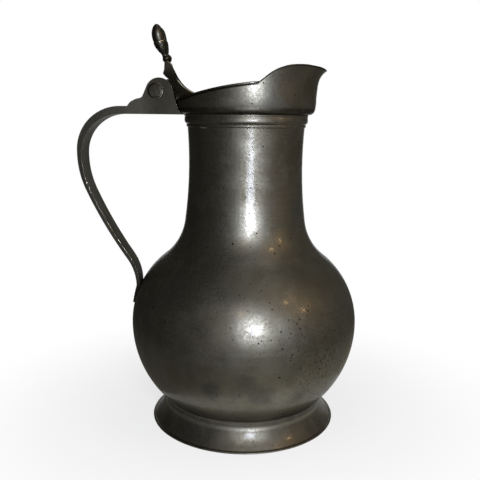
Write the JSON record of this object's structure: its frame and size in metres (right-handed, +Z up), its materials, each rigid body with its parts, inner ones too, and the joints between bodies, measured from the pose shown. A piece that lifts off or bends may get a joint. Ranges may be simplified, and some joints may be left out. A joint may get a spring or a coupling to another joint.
{
  "type": "lidded tankard",
  "caption": "Round-bellied pewter serving tankard with a beaked mouth, a strap handle and a hinged lid raised by a twin-acorn thumbpiece.",
  "frame": {"origin": "centre of the foot ring, on the table", "axes": "+Z up, +X to the spout, so the handle is at -X; the hinge pin lies along Y"},
  "size_m": [0.1923, 0.158, 0.272],
  "materials": {
    "foot_ring": "turned, satin, aged",
    "base_disc": "turned, dull",
    "lower_bowl": "turned, satin, pitted",
    "upper_body": "turned, satin, aged",
    "neck_ring": "turned, satin, aged",
    "mouth_collar": "cast and turned, satin, aged",
    "handle": "cast, satin, dark",
    "hinge_pin": "cast, satin",
    "pin_washer_near": "cast, satin",
    "pin_washer_far": "cast, satin",
    "lid_plate": "turned, satin, aged",
    "lid_lug": "cast, satin",
    "thumbpiece": "cast, satin, dark, worn at the knop"
  },
  "bodies": {
    "vessel": {"foot_ring": "foot_ring", "base_disc": "base_disc", "lower_bowl": "lower_bowl", "upper_body": "upper_body", "neck_ring": "neck_ring", "mouth_collar": "mouth_collar", "handle": "handle", "hinge_pin": "hinge_pin", "pin_washer_near": "pin_washer_near", "pin_washer_far": "pin_washer_far"},
    "lid": {"lid_plate": "lid_plate", "lid_lug": "lid_lug", "thumbpiece": "thumbpiece"}
  },
  "joints": [
    {"name": "lid_hinge", "type": "hinge", "parent": "vessel", "child": "lid", "pos_m": [-0.05995, 0, 0.2294], "axis": [0, -1, 0], "range_deg": [0, 95]}
  ]
}
